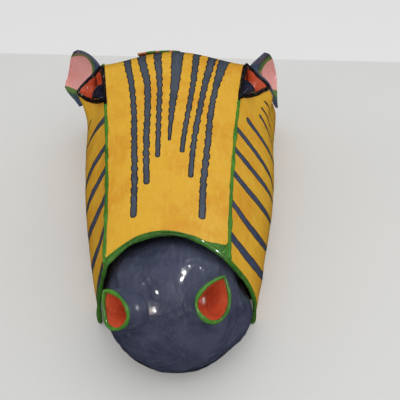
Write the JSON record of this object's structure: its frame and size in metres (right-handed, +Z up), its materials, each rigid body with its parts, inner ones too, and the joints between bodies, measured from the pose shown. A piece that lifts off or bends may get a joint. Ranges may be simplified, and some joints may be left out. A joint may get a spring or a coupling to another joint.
{
  "type": "zebra head wall mask",
  "caption": "Painted papier-mache zebra head mask with striped face, round muzzle, flared nostrils, sunken eyes and cupped ears, open at the back to hang on a wall.",
  "frame": {"origin": "middle of the object's bounding box, on the resting plane of the open back", "axes": "+Z up from the resting plane through the face, -Y towards the muzzle, +Y towards the crown and ears, +X to the side seen on the right from the muzzle"},
  "size_m": [0.2848, 0.446, 0.1535],
  "materials": {
    "painted_yellow": "glossy varnish over brushed paint, with wavy slate-blue stripes",
    "painted_slate": "glossy varnish over brushed paint",
    "painted_green": "glossy varnish over brushed paint",
    "painted_red": "glossy varnish over brushed paint",
    "painted_black": "glossy varnish over brushed paint",
    "painted_eyes": "high-gloss varnish over paint",
    "painted_orange": "glossy varnish over brushed bands of paint",
    "batten_wood": "raw sawn wood",
    "steel_wire": "dull galvanised wire"
  },
  "bodies": {
    "root": {"face_strip": "painted_yellow", "cheek_panel_left": "painted_yellow", "cheek_panel_right": "painted_yellow", "seam_left": "painted_green", "seam_right": "painted_green", "crown_seam_left": "painted_green", "crown_seam_right": "painted_green", "muzzle_rim": "painted_green", "muzzle_gusset_left": "painted_green", "muzzle_gusset_right": "painted_green", "muzzle_bowl": "painted_slate", "muzzle_collar": "painted_slate", "nostril_cup_left": "painted_slate", "nostril_cup_right": "painted_slate", "nostril_rim_left": "painted_green", "nostril_rim_right": "painted_green", "eye_socket_left": "painted_red", "eye_socket_right": "painted_red", "eye_rim_left": "painted_black", "eye_rim_right": "painted_black", "eyeball_left": "painted_eyes", "eyeball_right": "painted_eyes", "ear_left": "painted_slate", "ear_right": "painted_slate", "mane_crest": "painted_orange", "back_brace": "batten_wood", "hanging_wire": "steel_wire", "wire_staple_left": "steel_wire", "wire_staple_right": "steel_wire"}
  },
  "joints": []
}
